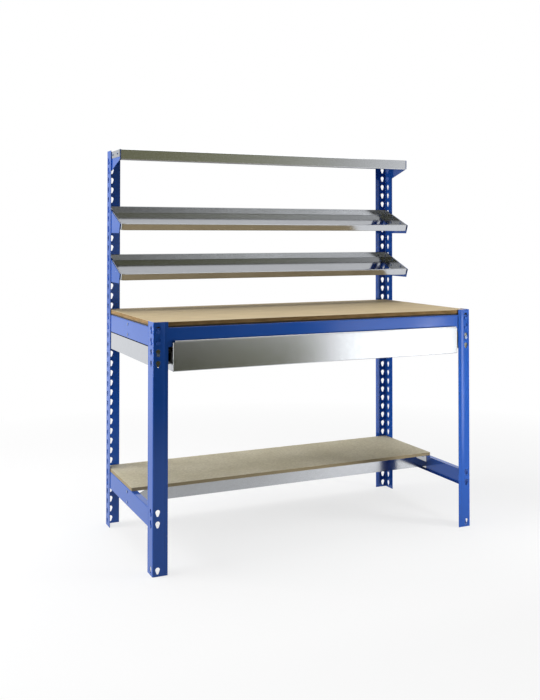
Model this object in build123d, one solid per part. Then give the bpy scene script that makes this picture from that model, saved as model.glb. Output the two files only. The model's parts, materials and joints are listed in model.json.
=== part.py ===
from build123d import *
import math
import os

# A boltless workbench: four pressed angle posts with keyholes, channel beams that hook into them,
# a wooden worktop over a wide drawer, a half-depth lower shelf, a level top shelf and two trays.
# Sizes are in millimetres. X runs to the right, Y to the back and Z up from the floor.
# The origin is on the floor, under the middle of the whole bench.

# The bench as a whole
bench_width = 1220.0            # over the outer faces of the posts
bench_depth = 610.0             # over the outer faces of the posts
rear_post_height = 1398.0
fit = 0.2                       # room round a pin in its hole, or beside a sheet in its seat
running = 0.3                   # room between pieces that slide past each other
overrun = 5.0                   # how far a cut runs past the sheet that it cuts

# Angle posts
post_face = 50.0                # flange seen from the front or the back
post_side = 56.0                # flange seen from the side
post_sheet = 2.0
post_fold_radius = 4.0          # outer radius of the fold
post_band = 11.0                # strip beyond the crease along each free edge
crease_width = 1.6
crease_depth = 0.5
post_stand = 1.0                # front posts rise this much above the worktop
rear_top_margin = 30.0          # least sheet above the highest keyhole

# Keyholes, wide at the top and narrow at the foot
pitch = 36.3
foot_hole = 18.0                # middle of the lowest keyhole above the floor
keyhole_head = 7.5              # radius of the wide end
keyhole_foot = 4.0              # radius of the narrow end
keyhole_drop = 10.5             # wide centre to narrow centre
face_inset = 17.0               # keyhole line from the corner, in the face flange
side_inset = 22.0               # keyhole line from the corner, in the side flange

# Wanted levels of the beams' lower rivets; each goes to the nearest row of keyholes
low_beam_level = 163.0
top_beam_level = 744.0

# Places of the trays' lower rivets, along the rows between the worktop and the top shelf
upper_tray_share = 0.57
lower_tray_share = 0.21

# Rivets that hook into the keyholes
rivet_head = 6.5
rivet_head_thick = 2.0
rivet_back = 5.5
rivet_back_thick = 1.5
rivet_round = 0.9               # rounding of the outer head
rivet_margin = 13.0             # rivet line to the edge of the beam

# Channel beams
beam_sheet = 1.5
beam_flange = 22.0              # upper flange, which carries the boards
beam_lip = 12.0                 # lower flange
beam_fold_radius = 2.5          # outer radius of the folds
beam_end_gap = 2.0              # from the post's fold to the beam's end
flange_gap = 1.0                # between the flanges that meet in a corner

# Boards
worktop_thick = 18.0
low_board_thick = 12.0
board_gap = 1.5                 # board edge to the inside of the posts
board_round = 1.0
low_board_front = 262.0         # front edge, from the front of the posts

# Galvanised cross bars under the boards
bar_place = 288.0               # front of the bar, from the front of the posts
bar_height = 48.0
bar_flange = 25.0
bar_sheet = 1.2
bar_end_height = 16.0           # height left where the bar's end is cut on the slant
bar_slant = 70.0
bar_foot_depth = 72.0           # end plate, measured front to back
bar_foot_gap = 1.2              # end plate to the flanges of the beam
bar_rivet_place = 26.0          # rivet line behind the front of the bar
bar_rivet = 3.0
bar_rivet_head = 5.0

# Drawer guides, one inside each side of the frame
guide_sheet = 1.5
guide_height = 60.0
guide_gap = 2.0                 # under the beam
bolt_shank = 3.0
bolt_head = 6.0
nut_across = 10.0
nut_thick = 5.0

# Ball slides between the guides and the drawer
slide_thick = 12.7
slide_height = 45.0
slide_rear_room = 54.0          # rear end of the slide to the back of the posts
slide_overlap = 150.0           # moving channel left in the fixed one when the drawer is open
slide_place = 6.0               # front end of the slide, from the front of the posts
slide_sheet = 1.2
slide_flange = 9.8
ball_radius = 2.5
ball_count = 5                  # in each row of a cage
cage_sheet = 0.8
cage_margin = 3.0
slide_rivet = 2.0
slide_rivet_head = 3.6
slide_rivet_thin = 0.7
slide_rivet_thick = 1.4
slide_rivet_end = 40.0          # outer rivets from the slide's ends

# Drawer
drawer_drop = 15.0              # drawer floor below the foot of the guides
drawer_room = 4.0               # drawer side below the top of the guides
drawer_past_slide = 3.7         # drawer's back wall behind the slides
drawer_sheet = 1.0
drawer_hem = 8.0
front_depth = 12.0              # drawer front, standing out before the posts
front_overlap = 21.0            # drawer front over the foot of the front beam
front_lip = 2.0                 # hem along the top, standing out from the face
front_lip_height = 4.0
front_notch = 6.0               # top fold cut back at its ends
front_tongue = 20.0             # fold under the drawer floor
front_rivets = 5

# Trays and the brackets that hold them
tray_sheet = 1.0
tray_depth = 188.0
tray_wall = 26.0
tray_hem = 5.0
tray_tilt = 21.5                # degrees, front edge down
tray_rise = 68.3                # rear edge of the floor above the lower rivet of its bracket
tray_rear_gap = 0.6
bracket_sheet = 2.0
bracket_low_margin = 9.0        # below the lower rivet
bracket_rear_gap = 4.0
bracket_top_drop = 1.5          # bracket below the top of the tray wall
bracket_front_drop = 11.0       # bracket below the tray floor at the front
bracket_front_gap = 2.0
bracket_rivet_rows = 2          # rows between the rivets of a tray bracket
shelf_rivet_rows = 1            # rows between the rivets of a shelf bracket, the upper in the topmost keyhole
screw_shank = 2.4
screw_head = 4.2
screw_head_thick = 1.8
screw_nut_thick = 3.0
tray_screw_shares = (0.32, 0.7) # along the depth of the tray
tray_screw_height = 13.0

# Level top shelf
shelf_depth = 174.0
shelf_front_lip = 38.0
shelf_side_lip = 27.0
shelf_rear_lip = 26.0
shelf_hem = 6.0
shelf_rear_gap = 1.4            # deck to the rear posts and their folds
shelf_rise = 39.0               # top of the bracket above its upper rivet
shelf_bracket_front = 36.0      # height of the bracket at its front end
shelf_bracket_lap = 6.0         # where the two leaves of the bracket meet
shelf_bracket_flange = 14.0
shelf_screw_shares = (0.2, 0.58)

# Places that follow from the sizes above
drawer_reach = front_depth + front_lip
overall_depth = drawer_reach + bench_depth + rivet_head_thick
left = -bench_width / 2
front = -overall_depth / 2 + drawer_reach
rear = front + bench_depth
post_inner_radius = post_fold_radius - post_sheet
rivet_neck = keyhole_foot - fit
beam_height = pitch + 2 * rivet_margin
beam_gap = post_fold_radius + beam_end_gap


def hole_z(row):
    """Middle of the keyhole in a row, counted from the floor."""
    return foot_hole + row * pitch


def nearest_row(level):
    return round((level - foot_hole) / pitch)


def seat_z(row):
    """Height at which a rivet rests in the narrow end of its keyhole."""
    return hole_z(row) - (keyhole_drop + keyhole_head - keyhole_foot) / 2


low_beam_row = nearest_row(low_beam_level)
top_beam_row = nearest_row(top_beam_level)
bolt_row = top_beam_row - 1
top_beam_foot = seat_z(top_beam_row) - rivet_margin
top_beam_top = top_beam_foot + beam_height
low_beam_foot = seat_z(low_beam_row) - rivet_margin
low_beam_top = low_beam_foot + beam_height
front_post_height = top_beam_top + worktop_thick + post_stand
top_row = int((rear_post_height - rear_top_margin - foot_hole) / pitch)
shelf_row = top_row - shelf_rivet_rows
work_row = math.ceil((top_beam_top + worktop_thick - foot_hole) / pitch)
upper_tray_row = work_row + round(upper_tray_share * (shelf_row - work_row))
lower_tray_row = work_row + round(lower_tray_share * (shelf_row - work_row))
guide_top = top_beam_foot - guide_gap
guide_foot = guide_top - guide_height
slide_z = guide_foot + guide_height / 2
slide_x = left + post_face
drawer_x = slide_x + slide_thick
drawer_foot = guide_foot - drawer_drop
drawer_top = guide_top - drawer_room
drawer_start = front + post_sheet - running
slide_length = bench_depth - slide_place - slide_rear_room
slide_travel = slide_length - slide_overlap
drawer_depth = slide_place + slide_length + drawer_past_slide - post_sheet + running


def block(x0, x1, y0, y1, z0, z1):
    """Box between two corners."""
    return Pos((x0 + x1) / 2, (y0 + y1) / 2, (z0 + z1) / 2) * Box(x1 - x0, y1 - y0, z1 - z0)


def pin_x(y, z, *steps):
    """Stepped pin along X: each step is a radius and the two X places that it runs between."""
    shape = None
    for radius, x0, x1 in steps:
        piece = Pos((x0 + x1) / 2, y, z) * Rot(0, 90, 0) * Cylinder(radius, x1 - x0)
        shape = piece if shape is None else shape + piece
    return shape


def pin_y(x, z, *steps):
    """Stepped pin along Y: each step is a radius and the two Y places that it runs between."""
    shape = None
    for radius, y0, y1 in steps:
        piece = Pos(x, (y0 + y1) / 2, z) * Rot(90, 0, 0) * Cylinder(radius, y1 - y0)
        shape = piece if shape is None else shape + piece
    return shape


def pin_z(x, y, *steps):
    """Stepped pin along Z: each step is a radius and the two heights that it runs between."""
    shape = None
    for radius, z0, z1 in steps:
        piece = Pos(x, y, (z0 + z1) / 2) * Cylinder(radius, z1 - z0)
        shape = piece if shape is None else shape + piece
    return shape


def flipped(shape):
    """The same piece for the right-hand side of the bench."""
    return mirror(shape, about=Plane.YZ)


def corner_round(sketch, radius, *corners):
    """Round the corners of a sketch that lie at the given points."""
    chosen = [min(sketch.vertices(), key=lambda v: (v.center() - Vector(*c)).length) for c in corners]
    return fillet(chosen, radius)


# Posts

def keyhole():
    """Teardrop hole about its own middle, with the wide end up."""
    shift = (keyhole_drop + keyhole_foot - keyhole_head) / 2
    lean = (keyhole_head - keyhole_foot) / keyhole_drop
    across = math.sqrt(1 - lean ** 2)
    low = shift - keyhole_drop
    wide_right = (keyhole_head * across, shift - keyhole_head * lean)
    narrow_right = (keyhole_foot * across, low - keyhole_foot * lean)
    wide_left = (-wide_right[0], wide_right[1])
    narrow_left = (-narrow_right[0], narrow_right[1])
    outline = [
        ThreePointArc(wide_right, (0, shift + keyhole_head), wide_left),
        Line(wide_left, narrow_left),
        ThreePointArc(narrow_left, (0, low - keyhole_foot), narrow_right),
        Line(narrow_right, wide_right),
    ]
    return make_face(outline)


def post_section():
    """Angle with a rounded fold and a crease near each free edge, its corner at the origin."""
    t = post_sheet
    angle = make_face(Polyline((0, 0), (post_face, 0), (post_face, t), (t, t),
                               (t, post_side), (0, post_side), close=True))
    angle = corner_round(angle, post_fold_radius, (0, 0))
    angle = corner_round(angle, post_inner_radius, (t, t))
    half = crease_width / 2
    at_face = post_face - post_band
    at_side = post_side - post_band
    angle -= make_face(Polyline((at_face - half, 0), (at_face, crease_depth), (at_face + half, 0), close=True))
    angle -= make_face(Polyline((0, at_side - half), (crease_depth, at_side), (0, at_side + half), close=True))
    return angle


def post(height, rows):
    """Post in the front left corner: its face flange runs right and its side flange runs back."""
    shape = extrude(post_section(), height)
    hole = keyhole()
    depth = post_sheet + 2 * overrun
    face_plane = Plane(origin=(0, -overrun, 0), x_dir=(1, 0, 0), z_dir=(0, -1, 0))
    side_plane = Plane(origin=(-overrun, 0, 0), x_dir=(0, 1, 0), z_dir=(1, 0, 0))
    cutters = []
    for row in rows:
        cutters.append(extrude(face_plane * (Pos(face_inset, hole_z(row)) * hole), -depth))
        cutters.append(extrude(side_plane * (Pos(side_inset, hole_z(row)) * hole), depth))
    return shape - cutters


front_rows = (0, low_beam_row, low_beam_row + 1, bolt_row - 1, bolt_row, top_beam_row, top_beam_row + 1)
rear_rows = range(top_row + 1)


def front_left_post():
    return Pos(left, front, 0) * post(front_post_height, front_rows)


def rear_left_post():
    return Pos(left, rear, 0) * mirror(post(rear_post_height, rear_rows), about=Plane.XZ)


# Beams

def beam_section():
    """Channel with a wide upper flange, seen along the beam: web at the left, flanges to the right."""
    t = beam_sheet
    outline = Polyline((0, 0), (beam_lip, 0), (beam_lip, t), (t, t), (t, beam_height - t),
                       (beam_flange, beam_height - t), (beam_flange, beam_height), (0, beam_height), close=True)
    section = make_face(outline)
    section = corner_round(section, beam_fold_radius, (0, 0), (0, beam_height))
    return corner_round(section, beam_fold_radius - t, (t, t), (t, beam_height - t))


def beam_stations(length, inset):
    """Places of the rivets along a beam, one near each end."""
    return (inset - beam_gap, length - inset + beam_gap)


def beam(length, inset, cut_back, bar_at=None):
    """Beam along X from the origin, its outer face on the XZ plane and its flanges towards +Y."""
    along = Plane(origin=(0, 0, 0), x_dir=(0, 1, 0), z_dir=(1, 0, 0))
    shape = extrude(along * beam_section(), length)
    if cut_back:
        for x0, x1 in ((0, cut_back), (length - cut_back, length)):
            shape -= block(x0, x1, beam_fold_radius, beam_flange + overrun, -overrun, beam_height + overrun)
    heights = (rivet_margin, beam_height - rivet_margin)
    for x in beam_stations(length, inset):
        for z in heights:
            shape -= pin_y(x, z, (rivet_neck, -overrun, beam_sheet + overrun))
    if bar_at is not None:
        for z in heights:
            shape -= pin_y(bar_at, z, (bar_rivet, -overrun, beam_sheet + overrun))
    return shape


def hook_rivet(x, z):
    """Rivet through the beam and the post, its rounded outer head towards -Y."""
    face = -post_sheet
    shape = pin_y(x, z, (rivet_head, face - rivet_head_thick, face), (rivet_neck, face, beam_sheet),
                  (rivet_back, beam_sheet, beam_sheet + rivet_back_thick))
    rim = shape.edges().filter_by(GeomType.CIRCLE).sort_by(Axis.Y)[0]
    return fillet(rim, rivet_round)


def beam_rivets(length, inset):
    heights = (rivet_margin, beam_height - rivet_margin)
    return [hook_rivet(x, z) for x in beam_stations(length, inset) for z in heights]


cross_length = bench_width - 2 * beam_gap
side_length = bench_depth - 2 * beam_gap
side_cut = beam_flange + post_sheet - beam_gap + flange_gap
bar_on_left = bench_depth - bar_place - bar_rivet_place - beam_gap
bar_on_right = bar_place + bar_rivet_place - beam_gap

beam_places = {
    "front": Pos(left + beam_gap, front + post_sheet, 0),
    "rear": Pos(-left - beam_gap, rear - post_sheet, 0) * Rot(0, 0, 180),
    "left": Pos(left + post_sheet, rear - beam_gap, 0) * Rot(0, 0, -90),
    "right": Pos(-left - post_sheet, front + beam_gap, 0) * Rot(0, 0, 90),
}


def beam_and_rivets(side, foot):
    """The beam on one side of the frame, and its hooks, with the beam's foot at the given height."""
    place = Pos(0, 0, foot) * beam_places[side]
    if side in ("front", "rear"):
        length, inset, cut, bar_at = cross_length, face_inset, 0, None
    else:
        length, inset, cut = side_length, side_inset, side_cut
        bar_at = bar_on_left if side == "left" else bar_on_right
    return place * beam(length, inset, cut, bar_at), [place * r for r in beam_rivets(length, inset)]


# Cross bars

def cross_bar(beam_foot):
    """Galvanised bar between two side beams, its ends cut on the slant under their flanges."""
    top = beam_foot + beam_height
    low = top - bar_height
    x0 = left + post_sheet + beam_sheet
    x1 = -x0
    y0 = front + bar_place
    end = low + bar_end_height
    face = Plane(origin=(0, y0, 0), x_dir=(1, 0, 0), z_dir=(0, -1, 0))
    web = extrude(face * make_face(Polyline((x0, low), (x1, low), (x1, end), (x1 - bar_slant, top),
                                            (x0 + bar_slant, top), (x0, end), close=True)), -bar_sheet)
    shape = web + block(x0 + bar_slant, x1 - bar_slant, y0, y0 + bar_flange, top - bar_sheet, top)
    shape += block(x0 + beam_lip, x1 - beam_lip, y0, y0 + bar_flange, low, low + bar_sheet)
    plate_low = beam_foot + beam_sheet + bar_foot_gap
    plate_top = top - beam_sheet - bar_foot_gap
    for xa, xb in ((x0, x0 + bar_sheet), (x1 - bar_sheet, x1)):
        shape += block(xa, xb, y0, y0 + bar_foot_depth, plate_low, plate_top)
        for z in (beam_foot + rivet_margin, top - rivet_margin):
            shape -= pin_x(y0 + bar_rivet_place, z, (bar_rivet, xa - overrun, xb + overrun))
    return shape


def cross_bar_rivets(beam_foot):
    outer = left + post_sheet
    inner = outer + beam_sheet + bar_sheet
    y = front + bar_place + bar_rivet_place
    rivets = []
    for z in (beam_foot + rivet_margin, beam_foot + beam_height - rivet_margin):
        rivet = pin_x(y, z, (bar_rivet_head, outer - rivet_back_thick, outer), (bar_rivet, outer, inner),
                      (bar_rivet_head, inner, inner + rivet_back_thick))
        rivets += [rivet, flipped(rivet)]
    return rivets


# Boards

def board(x0, x1, y0, y1, z0, thick):
    shape = block(x0, x1, y0, y1, z0, z0 + thick)
    return chamfer(shape.edges().filter_by(Plane.XY), board_round / 2)


def worktop():
    inset = post_sheet + board_gap
    return board(left + inset, -left - inset, front + inset, rear - inset, top_beam_top, worktop_thick)


def lower_board():
    inset = post_sheet + board_gap
    return board(left + inset, -left - inset, front + low_board_front, rear - inset, low_beam_top, low_board_thick)


# Drawer guides

def left_guide():
    """Galvanised channel from the front post to the rear post, open at the top."""
    t = guide_sheet
    x0 = left + post_sheet
    x1 = left + post_face
    y0 = front + post_sheet
    y1 = rear - post_sheet
    clear = post_inner_radius + fit
    shape = block(x0 + clear, x1, y0, y1, guide_foot, guide_foot + t)
    shape += block(x0, x1, y0 + clear, y1 - clear, guide_foot, guide_foot + t)
    shape += block(x0, x0 + t, y0 + clear, y1 - clear, guide_foot, guide_top)
    shape += block(x1 - t, x1, y0, y1, guide_foot, guide_top)
    z = seat_z(bolt_row)
    for ya, yb in ((y0, y0 + t), (y1 - t, y1)):
        shape += block(x0 + clear, x1, ya, yb, guide_foot, guide_top)
        shape -= pin_y(left + face_inset, z, (bolt_shank, ya - overrun, yb + overrun))
    for y in slide_rivet_places(slide_front):
        shape -= pin_x(y, slide_z, (slide_rivet, x1 - t - overrun, x1 + overrun))
    return shape


def guide_bolts():
    """Bolts through the face flanges of the four posts."""
    x = left + face_inset
    z = seat_z(bolt_row)
    inner = post_sheet + guide_sheet
    tail = inner + nut_thick + rivet_round
    bolts = []
    for face, way in ((front, 1), (rear, -1)):
        ends = [sorted((face + way * a, face + way * b)) for a, b in ((-rivet_head_thick, 0), (0, tail))]
        bolt = pin_y(x, z, (bolt_head, *ends[0]), (bolt_shank, *ends[1]))
        bolts += [bolt, flipped(bolt)]
    return bolts


def guide_nuts():
    x = left + face_inset
    z = seat_z(bolt_row)
    inner = post_sheet + guide_sheet
    nuts = []
    for face, way in ((front, 1), (rear, -1)):
        start = face + way * (inner + nut_thick / 2)
        hexagon = extrude(RegularPolygon(nut_across / 2, 6, major_radius=False), nut_thick / 2, both=True)
        nut = Pos(x, start, z) * Rot(90, 0, 0) * (hexagon - Cylinder(bolt_shank, nut_thick + overrun))
        nuts += [nut, flipped(nut)]
    return nuts


# Ball slides

slide_front = front + slide_place
slide_rear = slide_front + slide_length
race = slide_height / 2 - slide_sheet - running - ball_radius
inner_half = race - ball_radius - running
slide_middle = slide_x + slide_thick / 2
cage_length = slide_length - slide_travel - 2 * cage_margin
cage_front = slide_front + slide_travel / 2 + cage_margin
cage_x = slide_x + slide_sheet + slide_rivet_thin + fit


def slide_rivet_places(start):
    middle = start + slide_length / 2
    return (start + slide_rivet_end, middle, start + slide_length - slide_rivet_end)


def channel(x_web, x_open, half, y0, y1):
    """Channel with its web at x_web and its flanges towards x_open."""
    t = slide_sheet
    lo, hi = min(x_web, x_open), max(x_web, x_open)
    web = (x_web, x_web + t) if x_open > x_web else (x_web - t, x_web)
    shape = block(*web, y0, y1, slide_z - half, slide_z + half)
    for z0, z1 in ((-half, -half + t), (half - t, half)):
        shape += block(lo, hi, y0, y1, slide_z + z0, slide_z + z1)
    return shape


def left_slide_outer():
    shape = channel(slide_x, slide_x + slide_flange, slide_height / 2, slide_front, slide_rear)
    for y in slide_rivet_places(slide_front):
        shape -= pin_x(y, slide_z, (slide_rivet, slide_x - overrun, slide_x + overrun))
    return shape


def left_slide_inner():
    shape = channel(drawer_x, cage_x + cage_sheet + running, inner_half, slide_front, slide_rear)
    for y in slide_rivet_places(slide_front):
        shape -= pin_x(y, slide_z, (slide_rivet, drawer_x - slide_sheet - overrun, drawer_x + overrun))
    return shape


def ball_places():
    spacing = cage_length / ball_count
    steps = [cage_front + spacing * (i + 1 / 2) for i in range(ball_count)]
    return [(slide_middle, y, slide_z + way * race) for y in steps for way in (-1, 1)]


def left_slide_cage():
    """Ball cage: a web with a strip at top and foot, which holds the balls apart."""
    y0, y1 = cage_front, cage_front + cage_length
    half = cage_sheet / 2
    reach = slide_middle + ball_radius + cage_sheet
    shape = block(cage_x, cage_x + cage_sheet, y0, y1, slide_z - race - half, slide_z + race + half)
    for way in (-1, 1):
        z = slide_z + way * race
        shape += block(cage_x, reach, y0, y1, z - half, z + half)
    for x, y, z in ball_places():
        shape -= pin_z(x, y, (ball_radius + fit, z - ball_radius, z + ball_radius))
    return shape


def left_slide_balls():
    return [Pos(*place) * Sphere(ball_radius) for place in ball_places()]


def outer_slide_rivets():
    """Rivets that hold the fixed channels to the guides."""
    web = slide_x + slide_sheet
    back = slide_x - guide_sheet
    rivets = []
    for y in slide_rivet_places(slide_front):
        rivet = pin_x(y, slide_z, (slide_rivet_head, web, web + slide_rivet_thin), (slide_rivet, back, web),
                      (slide_rivet_head, back - slide_rivet_thick, back))
        rivets += [rivet, flipped(rivet)]
    return rivets


def inner_slide_rivets():
    """Rivets that hold the moving channels to the drawer."""
    web = drawer_x - slide_sheet
    wall = drawer_x + drawer_sheet
    rivets = []
    for y in slide_rivet_places(slide_front):
        rivet = pin_x(y, slide_z, (slide_rivet_head, web - slide_rivet_thin, web), (slide_rivet, web, wall),
                      (slide_rivet_head, wall, wall + slide_rivet_thick))
        rivets += [rivet, flipped(rivet)]
    return rivets


# Drawer

def drawer_tray():
    """Folded pan with a floor and four walls, the side walls hemmed inwards."""
    t = drawer_sheet
    x0, x1 = drawer_x, -drawer_x
    y0, y1 = drawer_start, drawer_start + drawer_depth
    z0, z1 = drawer_foot, drawer_top
    shape = block(x0, x1, y0, y1, z0, z1) - block(x0 + t, x1 - t, y0 + t, y1 - t, z0 + t, z1 + overrun)
    for xa, xb in ((x0, x0 + drawer_hem), (x1 - drawer_hem, x1)):
        shape += block(xa, xb, y0, y1, z1 - t, z1)
    for y in slide_rivet_places(slide_front):
        for x in (x0, x1):
            shape -= pin_x(y, slide_z, (slide_rivet, x - overrun, x + overrun))
    for x in front_rivet_places():
        shape -= pin_z(x, tongue_rivet_y, (slide_rivet, z0 - overrun, z0 + overrun))
    return shape


tongue_rivet_y = drawer_start + front_tongue / 2


def front_rivet_places():
    step = -2 * drawer_x / front_rivets
    return [drawer_x + step * (i + 1 / 2) for i in range(front_rivets)]


def drawer_front():
    """Folded panel before the drawer, hemmed along its top and tucked under the drawer floor."""
    t = drawer_sheet
    x0, x1 = drawer_x, -drawer_x
    y0, y1 = front - front_depth, drawer_start
    z0, z1 = drawer_foot - t, top_beam_foot + front_overlap
    shape = block(x0, x1, y0, y0 + t, z0, z1)
    shape += block(x0 + front_notch, x1 - front_notch, y0 - front_lip, y1, z1 - t, z1)
    shape += block(x0 + front_notch, x1 - front_notch, y0 - front_lip, y0, z1 - front_lip_height, z1)
    shape += block(x0, x1, y0, y1 + front_tongue, z0, z0 + t)
    for xa, xb in ((x0, x0 + t), (x1 - t, x1)):
        shape += block(xa, xb, y0, y1, z0, z1 - front_notch)
    for x in front_rivet_places():
        shape -= pin_z(x, tongue_rivet_y, (slide_rivet, z0 - overrun, z0 + overrun))
    return shape


def drawer_front_rivets():
    t = drawer_sheet
    low, top = drawer_foot - t, drawer_foot + t
    return [pin_z(x, tongue_rivet_y, (slide_rivet_head, low - slide_rivet_thick, low), (slide_rivet, low, top),
                  (slide_rivet_head, top, top + slide_rivet_thick)) for x in front_rivet_places()]


# Tilted trays

tray_rear = rear - post_sheet - tray_rear_gap
tray_x = left + post_sheet + bracket_sheet + running
tilt = math.radians(tray_tilt)


def tray_point(row, forward, up):
    """World Y and Z of a place in a tray, measured from the rear edge of its floor."""
    y = tray_rear - forward * math.cos(tilt) - up * math.sin(tilt)
    z = seat_z(row) + tray_rise - forward * math.sin(tilt) + up * math.cos(tilt)
    return y, z


def tray_screw_points(row):
    return [tray_point(row, share * tray_depth, tray_screw_height) for share in tray_screw_shares]


def tray(row):
    """Folded tray with four walls, tilted so that its front edge is low."""
    t = tray_sheet
    x0, x1 = tray_x, -tray_x
    shape = block(x0, x1, -tray_depth, 0, 0, tray_wall)
    shape -= block(x0 + t, x1 - t, t - tray_depth, -t, t, tray_wall + overrun)
    for y0, y1 in ((-tray_depth, tray_hem - tray_depth), (-tray_hem, 0)):
        shape += block(x0, x1, y0, y1, tray_wall - t, tray_wall)
    shape = Pos(0, tray_rear, seat_z(row) + tray_rise) * Rot(tray_tilt, 0, 0) * shape
    for y, z in tray_screw_points(row):
        for x in (x0, x1):
            shape -= pin_x(y, z, (screw_shank, x - overrun, x + overrun))
    return shape


def left_tray_bracket(row):
    """Flat plate outside the tray, riveted to the post and reaching forward under the tray."""
    x0 = left + post_sheet
    y_rear = rear - post_sheet - bracket_rear_gap
    reach = tray_depth - bracket_front_gap
    up = tray_wall - bracket_top_drop
    top_front = tray_point(row, reach, up)
    low_front = tray_point(row, reach, -bracket_front_drop)
    back = (tray_rear - y_rear - up * math.sin(tilt)) / math.cos(tilt)
    top_rear = tray_point(row, back, up)
    low_rear = (y_rear, seat_z(row) - bracket_low_margin)
    side = Plane(origin=(x0, 0, 0), x_dir=(0, 1, 0), z_dir=(1, 0, 0))
    shape = extrude(side * make_face(Polyline(low_rear, top_rear, top_front, low_front, close=True)), bracket_sheet)
    y = rear - side_inset
    for z in (seat_z(row), seat_z(row + bracket_rivet_rows)):
        shape -= pin_x(y, z, (rivet_neck, x0 - overrun, x0 + overrun))
    for y, z in tray_screw_points(row):
        shape -= pin_x(y, z, (screw_shank, x0 - overrun, x0 + overrun))
    return shape


def bracket_rivets(rows):
    """Rivets through the side flanges of both rear posts, flush inside their brackets."""
    y = rear - side_inset
    inner = left + post_sheet + bracket_sheet
    rivets = []
    for row in rows:
        rivet = pin_x(y, seat_z(row), (rivet_head, left - rivet_head_thick, left), (rivet_neck, left, inner))
        rivets += [rivet, flipped(rivet)]
    return rivets


def tray_screws(row):
    """Screws from inside the tray, through its side wall and the bracket."""
    wall = tray_x + tray_sheet
    screws = []
    for y, z in tray_screw_points(row):
        screw = pin_x(y, z, (screw_head, wall, wall + screw_head_thick), (screw_shank, left + post_sheet, wall))
        screws += [screw, flipped(screw)]
    return screws


# Level top shelf

shelf_under = seat_z(top_row) + shelf_rise
shelf_rear = rear - post_sheet - shelf_rear_gap
shelf_front = shelf_rear - shelf_depth
shelf_x = left + post_sheet + fit
leaf_x = shelf_x + tray_sheet + fit
post_edge = rear - post_side
shelf_screw_z = shelf_under + tray_sheet - shelf_side_lip / 2
shelf_screw_places = [shelf_front + share * shelf_depth for share in shelf_screw_shares]


def top_shelf():
    """Level deck with its lips turned down, the front lip hemmed inwards."""
    t = tray_sheet
    x0, x1 = shelf_x, -shelf_x
    top = shelf_under + t
    shape = block(x0, x1, shelf_front, shelf_rear, shelf_under, top)
    shape += block(x0, x1, shelf_front, shelf_front + t, top - shelf_front_lip, top)
    shape += block(leaf_x + bracket_sheet + fit, -leaf_x - bracket_sheet - fit, shelf_front,
                   shelf_front + shelf_hem, top - shelf_front_lip, top - shelf_front_lip + t)
    inner = leaf_x + bracket_sheet + fit
    shape += block(inner, -inner, shelf_rear - t, shelf_rear, top - shelf_rear_lip, top)
    for xa, xb in ((x0, x0 + t), (x1 - t, x1)):
        shape += block(xa, xb, shelf_front, post_edge - fit, top - shelf_side_lip, top)
    for x in (x0, x1):
        for y in shelf_screw_places:
            shape -= pin_x(y, shelf_screw_z, (screw_shank, x - overrun, x + overrun))
    return shape


def left_shelf_bracket():
    """Plate under the end of the top shelf: a leaf on the post and a leaf inside the shelf's lip."""
    y_rear = rear - post_sheet - bracket_rear_gap
    y_front = shelf_front + tray_sheet + fit
    low_rear = seat_z(shelf_row) - bracket_low_margin
    low_front = shelf_under + tray_sheet - shelf_bracket_front
    slope = (low_front - low_rear) / (y_rear - y_front)
    y_join = post_edge

    def leaf(x, ya, yb):
        low_a = low_rear + slope * (y_rear - ya)
        low_b = low_rear + slope * (y_rear - yb)
        side = Plane(origin=(x, 0, 0), x_dir=(0, 1, 0), z_dir=(1, 0, 0))
        outline = Polyline((ya, low_a), (yb, low_b), (yb, shelf_under), (ya, shelf_under), close=True)
        return extrude(side * make_face(outline), bracket_sheet)

    shape = leaf(left + post_sheet, y_join, y_rear) + leaf(leaf_x, y_front, y_join + shelf_bracket_lap)
    shape += block(leaf_x, leaf_x + shelf_bracket_flange, y_front + shelf_hem, y_join + shelf_bracket_lap,
                   shelf_under - bracket_sheet, shelf_under)
    for row in (shelf_row, top_row):
        shape -= pin_x(rear - side_inset, seat_z(row), (rivet_neck, left - overrun, left + post_sheet + overrun))
    for y in shelf_screw_places:
        shape -= pin_x(y, shelf_screw_z, (screw_shank, left, leaf_x + bracket_sheet + fit))
    return shape


def top_shelf_screws():
    inner = leaf_x + bracket_sheet
    screws = []
    for y in shelf_screw_places:
        screw = pin_x(y, shelf_screw_z, (screw_head, shelf_x - screw_head_thick, shelf_x),
                      (screw_shank, shelf_x, inner), (screw_head, inner, inner + screw_nut_thick))
        screws += [screw, flipped(screw)]
    return screws


# Writing every piece

def save(name, shape):
    """Write one piece, or a group of like pieces, as a file of its own."""
    if isinstance(shape, (list, tuple)):
        solids = [s for piece in shape for s in piece.solids()]
    else:
        solids = shape.solids()
    whole = solids[0] if len(solids) == 1 else Compound(children=solids)
    whole.label = name
    export_step(whole, f"parts/{name}.step")


def save_pair(name, shape):
    """Write a left-hand piece and its mirrored partner."""
    other = [flipped(s) for s in shape] if isinstance(shape, (list, tuple)) else flipped(shape)
    save(f"left_{name}", shape)
    save(f"right_{name}", other)


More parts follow.
